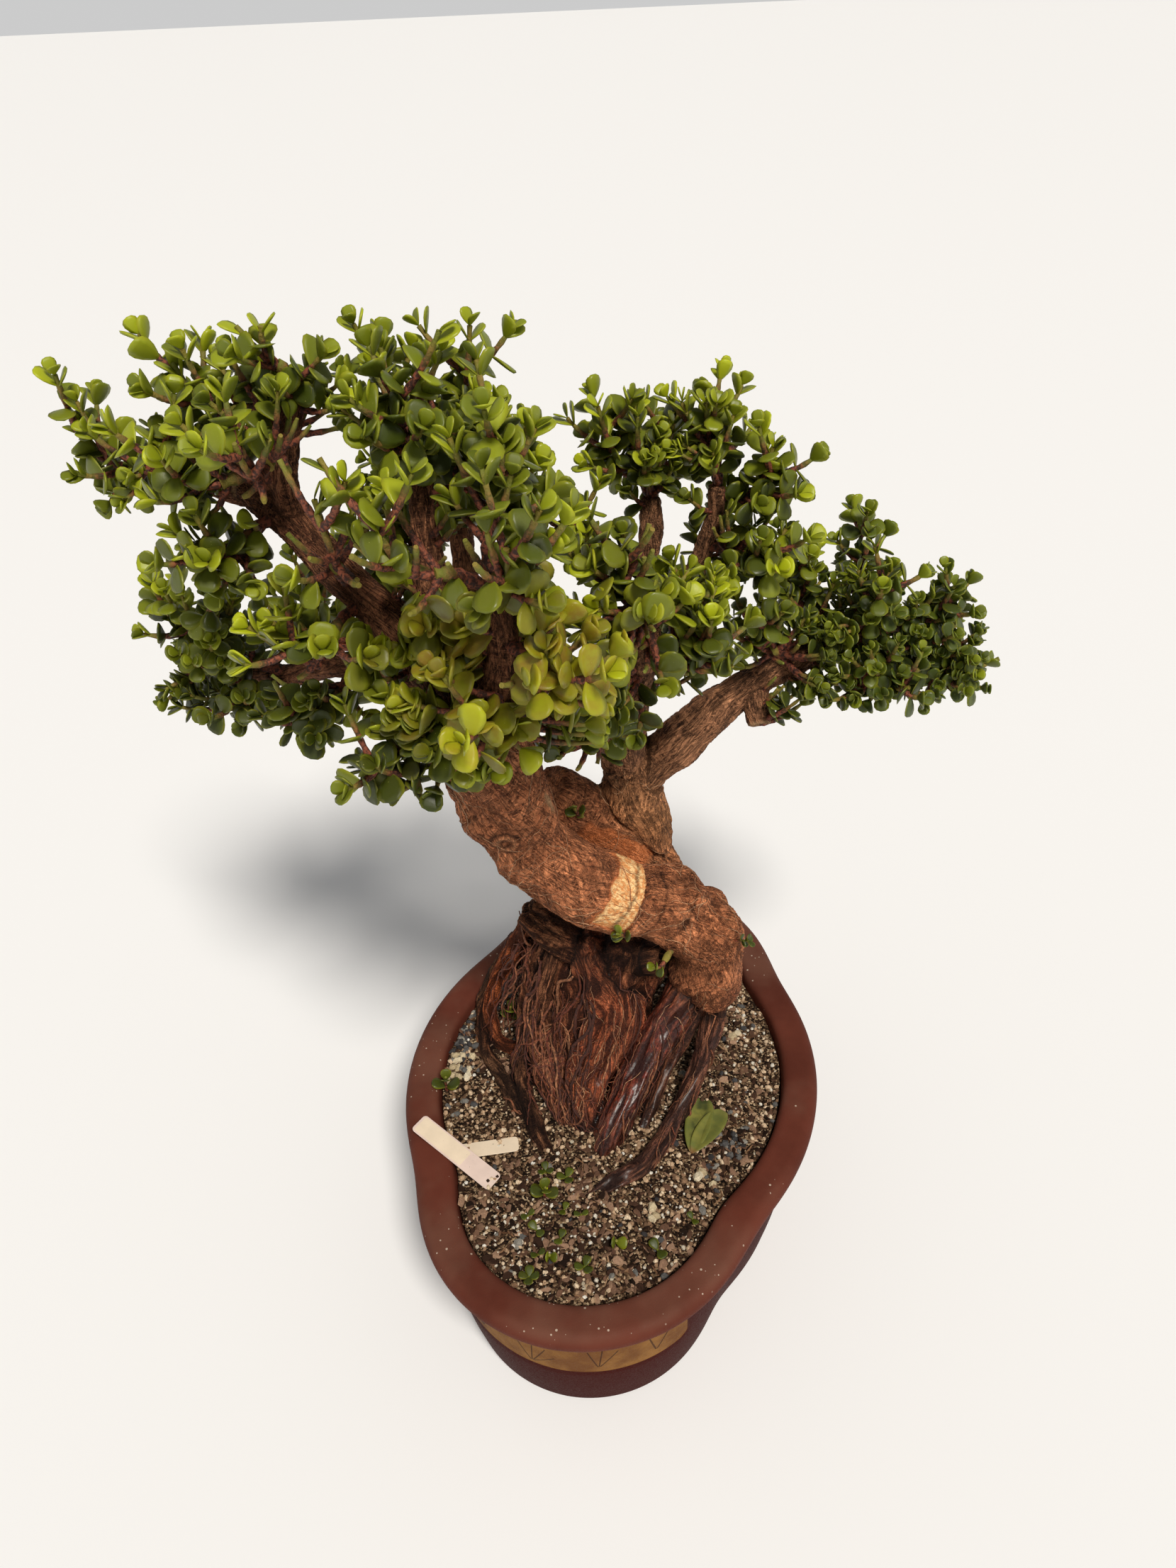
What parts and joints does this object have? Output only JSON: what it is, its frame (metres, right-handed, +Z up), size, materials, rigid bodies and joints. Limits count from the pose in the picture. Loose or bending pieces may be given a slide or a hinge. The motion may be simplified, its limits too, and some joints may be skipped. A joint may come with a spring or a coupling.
{
  "type": "dwarf jade bonsai",
  "caption": "Small-leaved succulent bonsai with a leaning trunk on bare gnarled roots, standing in a four-lobed unglazed clay pot of gritty soil.",
  "frame": {"origin": "centre of the pot's flat underside, on the surface that it stands on", "axes": "+Z up; the pot's long axis runs along Y; the tree's front faces -Y and its crown leans to -X"},
  "size_m": [0.5924, 0.458, 0.7198],
  "materials": {
    "clay": "matte",
    "soil": "matte",
    "bark": "matte",
    "leaf": "satin",
    "fallen_leaf": "satin",
    "label": "satin",
    "screen": "matte"
  },
  "bodies": {
    "root": {"pot": "clay", "soil": "soil", "wood": "bark", "drain_mesh_front": "screen", "drain_mesh_back": "screen", "fallen_leaves": "fallen_leaf", "label_long": "label", "label_short": "label", "spray_01": "leaf", "spray_02": "leaf", "spray_03": "leaf", "spray_04": "leaf", "spray_05": "leaf", "spray_06": "leaf", "spray_07": "leaf", "spray_08": "leaf", "spray_09": "leaf", "spray_10": "leaf", "spray_11": "leaf", "spray_12": "leaf", "spray_13": "leaf", "spray_14": "leaf", "spray_15": "leaf", "spray_16": "leaf", "spray_17": "leaf", "spray_18": "leaf", "spray_19": "leaf", "spray_20": "leaf", "spray_21": "leaf", "spray_22": "leaf", "spray_23": "leaf", "spray_24": "leaf", "spray_25": "leaf", "spray_26": "leaf", "spray_27": "leaf", "spray_28": "leaf", "spray_29": "leaf", "spray_30": "leaf", "spray_31": "leaf", "spray_32": "leaf", "spray_33": "leaf", "spray_34": "leaf", "spray_35": "leaf", "spray_36": "leaf", "spray_37": "leaf", "spray_38": "leaf", "spray_39": "leaf", "spray_40": "leaf", "spray_41": "leaf", "spray_42": "leaf", "spray_43": "leaf", "trunk_shoot_1": "leaf", "trunk_shoot_2": "leaf", "trunk_shoot_3": "leaf", "cutting_left": "leaf", "cutting_front": "leaf", "cutting_rear": "leaf", "seedling_front": "leaf", "seedling_edge": "leaf"}
  },
  "joints": []
}
